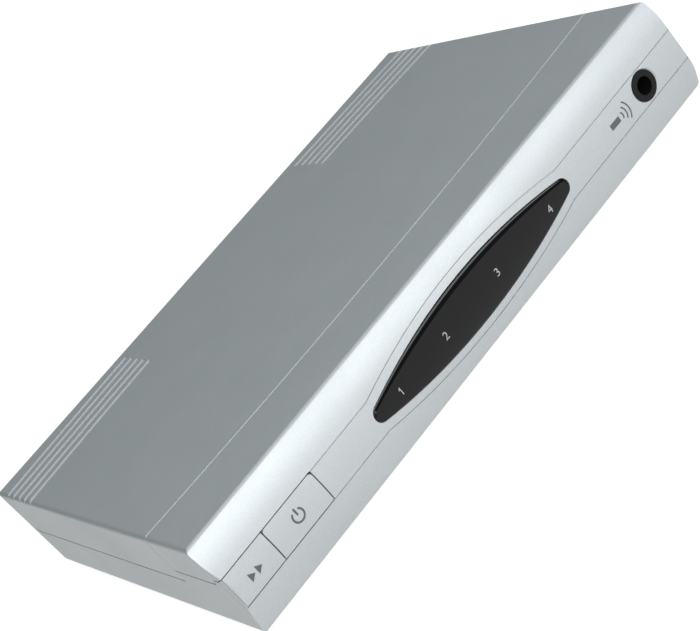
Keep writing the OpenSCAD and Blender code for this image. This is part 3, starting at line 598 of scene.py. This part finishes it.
@dataclass
class WindowPlate:
    """Window: a dark leaf-shaped plate with a sloped rim, wider above, in millimetres."""

    name: str = "window_plate"
    middle: Point = (0.4, 13.0)
    length: float = 58.6
    height: float = 10.4
    tip_r: float = 1.8
    thickness: float = 1.2
    rim: tuple[RimStrip, ...] = (
        RimStrip(width=0.30, extra=0.12, faces=42.0),
        RimStrip(width=0.20, extra=0.13, faces=22.0),
        RimStrip(width=0.35, extra=0.30, faces=42.0),
    )
    tip_share: float = 0.5
    lower_slope: float = 0.4
    tip_steps: int = 10
    long_steps: int = 22
    curve: FrontCurve = FrontCurve()

    def stations(self) -> list[tuple[float, float, float, float]]:
        """Give the leaf's outline: two long arcs and two round tips.

        Returns:
            For each point its arc's centre and radius, and its angle on the arc.
        """
        half, reach = self.height / 2, self.length / 2 - self.tip_r
        long_r = (reach**2 + half**2 - self.tip_r**2) / (2 * (half - self.tip_r))
        drop = long_r - half
        meet = math.degrees(math.atan2(drop, reach))
        first = meet + (HALF_TURN - 2 * meet) / (self.long_steps + 2)
        arcs = (
            (reach, 0.0, self.tip_r, -meet, meet, self.tip_steps),
            (0.0, -drop, long_r, first, HALF_TURN - first, self.long_steps),
            (-reach, 0.0, self.tip_r, HALF_TURN - meet, HALF_TURN + meet, self.tip_steps),
            (0.0, drop, long_r, HALF_TURN + first, TURN - first, self.long_steps),
        )
        return [
            (u, v, r, math.radians(start + (end - start) * i / steps))
            for u, v, r, start, end, steps in arcs
            for i in range(steps + 1)
        ]

    def section(self, u: float, v: float, r: float, angle: float) -> list[Vector]:
        """Cut through the rim at one point of the outline.

        Args:
            u: Place of the arc's centre to the right of the window's middle.
            v: Its height over the middle.
            r: The arc's radius.
            angle: The point's angle on the arc.

        Returns:
            The rim's points from the outline in to the face, each with its depth as Y.
        """
        out, up = math.cos(angle), math.sin(angle)
        # The rim narrows towards the tips
        share = 1.0 - (1.0 - self.tip_share) * ((u + r * out) / (self.length / 2)) ** 2
        # How far up the case's round front faces here
        tilt = math.asin((self.middle[1] + v + r * up - self.curve.apex_z) / self.curve.radius)
        # 1 at the upper edge and 0 at the lower
        above = 0.5 + up / 2
        inset = down = 0.0
        points = [Vector((u + r * out, 0.0, v + r * up))]
        drops = []
        for strip in self.rim:
            inset += share * strip.width
            down += share * strip.extra
            points.append(Vector((u + (r - inset) * out, 0.0, v + (r - inset) * up - down)))
            slope = above * math.tan(math.radians(strip.faces) - tilt)
            slope += (1.0 - above) * self.lower_slope
            drops.append(share * (strip.width + strip.extra * up) * slope)
        for i, point in enumerate(points):
            point.y = sum(drops[i:])
        return points

    def build(self, black: bpy.types.Material) -> bpy.types.Object:
        """Make the plate in place of its plain solid.

        Args:
            black: The window's material.

        Returns:
            The plate.
        """
        flat = bmesh.new()
        cuts = [
            [flat.verts.new(point) for point in self.section(*station)]
            for station in self.stations()
        ]
        for i, cut in enumerate(cuts):
            for j in range(len(self.rim)):
                flat.faces.new((cuts[i - 1][j], cut[j], cut[j + 1], cuts[i - 1][j + 1]))
        flat.faces.new([cut[-1] for cut in cuts])
        mesh = closed_layer(self.name, flat, self._place)
        mesh.materials.append(black)
        plate = bpy.data.objects.new(self.name, mesh)
        bpy.context.scene.collection.objects.link(plate)
        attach(plate, "case")
        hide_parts("display_lens")
        LOG.info("piece %s with its rim", self.name)
        return plate

    def _place(self, spot: Vector) -> tuple[Vector, Vector]:
        """Give the outer and inner point of the plate.

        Args:
            spot: A point of the flat plate, with its depth as Y.

        Returns:
            The point on the plate's face and the one on its back.
        """
        x, z = self.middle[0] + spot.x, self.middle[1] + spot.z
        face, back = (self.curve.y(z, depth) for depth in (spot.y, self.thickness))
        return Vector((x, face, z)), Vector((x, back, z))


# Figure one with its flag, for a height of 1
FLAGGED_ONE: Outline = [
    (-0.031, -0.5),
    (0.094, -0.5),
    (0.094, 0.5),
    (0.0, 0.5),
    (-0.225, 0.238),
    (-0.15, 0.163),
    (-0.031, 0.288),
]


@dataclass
class PrintedMark:
    """One thin printed mark: flat outlines laid on a face of the case, in millimetres."""

    name: str
    body: str
    slot: str
    centre: Point
    side: Side = Side.FRONT
    ink_t: float = 0.02
    sink: float = 0.02
    figure_steps: int = 6
    back_y: float = 46.0
    curve: FrontCurve = FrontCurve()

    def from_outlines(self, outlines: list[Outline], ink: bpy.types.Material) -> bpy.types.Object:
        """Make the mark from closed outlines about its own centre.

        Args:
            outlines: Simple polygons in millimetres, none inside another.
            ink: The ink's material.

        Returns:
            The mark.
        """
        flat = bmesh.new()
        for outline in outlines:
            flat.faces.new([flat.verts.new((u, 0.0, v)) for u, v in outline])
        return self._lay(flat, ink)

    def from_figure(self, figure: str, height: float, ink: bpy.types.Material) -> bpy.types.Object:
        """Make the mark from one plain figure.

        Args:
            figure: The figure to print.
            height: Its height in millimetres.
            ink: The ink's material.

        Returns:
            The mark.
        """
        if figure == "1":
            return self.from_outlines([[(u * height, v * height) for u, v in FLAGGED_ONE]], ink)
        curve = bpy.data.curves.new(self.name, "FONT")
        curve.body = figure
        curve.resolution_u = self.figure_steps
        text = bpy.data.objects.new(self.name, curve)
        mesh = text.to_mesh()
        flat = bmesh.new()
        flat.from_mesh(mesh)
        text.to_mesh_clear()
        bpy.data.objects.remove(text)
        bpy.data.curves.remove(curve)
        lows = [min(v.co[i] for v in flat.verts) for i in (0, 1)]
        highs = [max(v.co[i] for v in flat.verts) for i in (0, 1)]
        middle = [(low + high) / 2 for low, high in zip(lows, highs)]
        scale = height / (highs[1] - lows[1])
        for v in flat.verts:
            v.co = Vector(((v.co.x - middle[0]) * scale, 0.0, (v.co.y - middle[1]) * scale))
        return self._lay(flat, ink)

    def _lay(self, flat: bmesh.types.BMesh, ink: bpy.types.Material) -> bpy.types.Object:
        """Lay the flat mark on its face as a thin solid.

        Args:
            flat: The mark in X and Z about its own centre, in millimetres.
            ink: The ink's material.

        Returns:
            The mark, riding on its body.
        """
        mesh = closed_layer(self.name, flat, self._place)
        mesh.materials.append(ink)
        mark = bpy.data.objects.new(self.name, mesh)
        bpy.context.scene.collection.objects.link(mark)
        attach(mark, self.body)
        LOG.info("mark %s on %s", self.name, self.body)
        return mark

    def _place(self, spot: Vector) -> tuple[Vector, Vector]:
        """Give the outer and inner point of the ink.

        Args:
            spot: A point of the flat mark.

        Returns:
            The point on the ink's face and the one just under the case's face.
        """
        z = self.centre[1] + spot.z
        if self.side is Side.FRONT:
            x, y = self.centre[0] + spot.x, self.curve.y(z)
            return Vector((x, y - self.ink_t, z)), Vector((x, y + self.sink, z))
        x, y = self.centre[0] - spot.x, self.back_y
        return Vector((x, y + self.ink_t, z)), Vector((x, y - self.sink, z))


def arc_band(inner: float, outer: float, start: float, end: float, steps: int = 24) -> Outline:
    """Give the outline of a stretch of a ring.

    Args:
        inner: Inner radius.
        outer: Outer radius.
        start: First angle in degrees.
        end: Last angle in degrees.
        steps: Segments along the arc.

    Returns:
        The closed outline.
    """
    angles = [math.radians(start + (end - start) * i / steps) for i in range(steps + 1)]
    rim = [(outer * math.cos(a), outer * math.sin(a)) for a in angles]
    bore = [(inner * math.cos(a), inner * math.sin(a)) for a in reversed(angles)]
    return rim + bore


def bar(u0: float, v0: float, u1: float, v1: float) -> Outline:
    """Give the outline of an upright rectangle."""
    return [(u0, v0), (u1, v0), (u1, v1), (u0, v1)]


def moved(outline: Outline, du: float, dv: float) -> Outline:
    """Give an outline shifted by du and dv."""
    return [(u + du, v + dv) for u, v in outline]


@dataclass
class Box:
    """The whole box: its shells, front, rear and insides, each node with its slot's finish."""

    effects: Effects
    nodes: dict[str, bpy.types.Object]
    slots: dict[str, str]

    def dress(self) -> dict[str, bpy.types.Material]:
        """Give every solid the finish of its slot.

        Returns:
            The materials by slot.
        """
        made = {slot: finish.material(self.effects) for slot, finish in FINISHES.items()}
        for name, node in self.nodes.items():
            node.data.materials.clear()
            node.data.materials.append(made[self.slots[name]])
            LOG.info("piece %s in %s", name, self.slots[name])
        return made


@dataclass
class FrontPanel:
    """Front: the window's figures, and the signs of the keys and the socket, in millimetres."""

    figure_at: tuple[Point, ...] = ((-21.9, 12.65), (-8.7, 12.65), (6.9, 12.65), (23.2, 12.3))
    figure_h: float = 1.6
    power_at: Point = (-50.4, 13.1)
    power_r: float = 1.42
    power_w: float = 0.4
    power_gap: float = 35.0
    stroke_foot: float = 0.1
    stroke_past: float = 0.15
    select_at: Point = (-62.2, 12.7)
    arrow_back: float = 0.65
    arrow_front: float = 0.7
    arrow_half: float = 0.95
    arrow_apart: float = 0.9
    remote_at: Point = (47.3, 12.8)
    handset: tuple[float, float, float, float] = (-3.4, -0.6, -0.6, 0.6)
    wave_u: float = -0.6
    wave_r: tuple[float, ...] = (0.9, 1.9, 2.9)
    wave_w: float = 0.32
    wave_half: float = 40.0
    wave_steps: int = 12

    def build(self, white: bpy.types.Material, grey: bpy.types.Material) -> None:
        """Print the marks.

        Args:
            white: The ink of the window's figures.
            grey: The ink of the signs.
        """
        for i, place in enumerate(self.figure_at, 1):
            mark = PrintedMark(f"window_figure_{i}", "case", "window_black", place)
            mark.from_figure(str(i), self.figure_h, white)
        signs = (
            ("standby_sign", "power_key", self.power_at, self.standby()),
            ("select_sign", "select_key", self.select_at, self.chevrons()),
            ("remote_sign", "case", self.remote_at, self.waves()),
        )
        for name, body, place, outlines in signs:
            PrintedMark(name, body, "silver_paint", place).from_outlines(outlines, grey)

    def standby(self) -> list[Outline]:
        """Draw a standby sign.

        Returns:
            Its broken ring and its stroke.
        """
        half, inner = self.power_w / 2, self.power_r - self.power_w
        start, end = UP + self.power_gap, UP + TURN - self.power_gap
        ring = arc_band(inner, self.power_r, start, end)
        return [ring, bar(-half, self.stroke_foot, half, self.power_r + self.stroke_past)]

    def chevrons(self) -> list[Outline]:
        """Draw arrow heads that point to the next input.

        Returns:
            Two arrow heads.
        """
        back, half = -self.arrow_back, self.arrow_half
        head = [(back, -half), (self.arrow_front, 0.0), (back, half)]
        return [moved(head, shift, 0.0) for shift in (-self.arrow_apart, self.arrow_apart)]

    def waves(self) -> list[Outline]:
        """Draw a remote control at work.

        Returns:
            A short handset and its waves.
        """
        half, steps = self.wave_half, self.wave_steps
        bands = [arc_band(r, r + self.wave_w, -half, half, steps) for r in self.wave_r]
        return [bar(*self.handset)] + [moved(band, self.wave_u, 0.0) for band in bands]


@dataclass
class RearPanel:
    """Rear: printed figures above the input sockets, in millimetres."""

    input_x: tuple[float, ...] = (-38.0, -18.0, 2.0, 22.0)
    figure_z: float = 18.2
    figure_h: float = 1.9

    def build(self, grey: bpy.types.Material) -> None:
        """Print the figures.

        Args:
            grey: Their ink.
        """
        for i, x in enumerate(self.input_x, 1):
            place = (x, self.figure_z)
            mark = PrintedMark(f"input_figure_{i}", "case", "silver_paint", place, Side.BACK)
            mark.from_figure(str(i), self.figure_h, grey)


def main() -> None:
    """Build the scene."""
    logging.basicConfig(level=logging.INFO, format="%(message)s")
    bpy.context.scene.view_settings.view_transform = "Standard"
    PhotoCamera().build()
    Studio().build()
    effects = Effects()
    slots = {piece["node"]: piece["material_slot"] for piece in frame["record"]["subparts"]}
    made = Box(effects, frame["nodes"], slots).dress()
    WindowPlate().build(made["window_black"])
    white, grey = (ink.material(effects) for ink in (WHITE_INK, GREY_INK))
    FrontPanel().build(white, grey)
    RearPanel().build(grey)


if __name__ == "__main__":
    main()
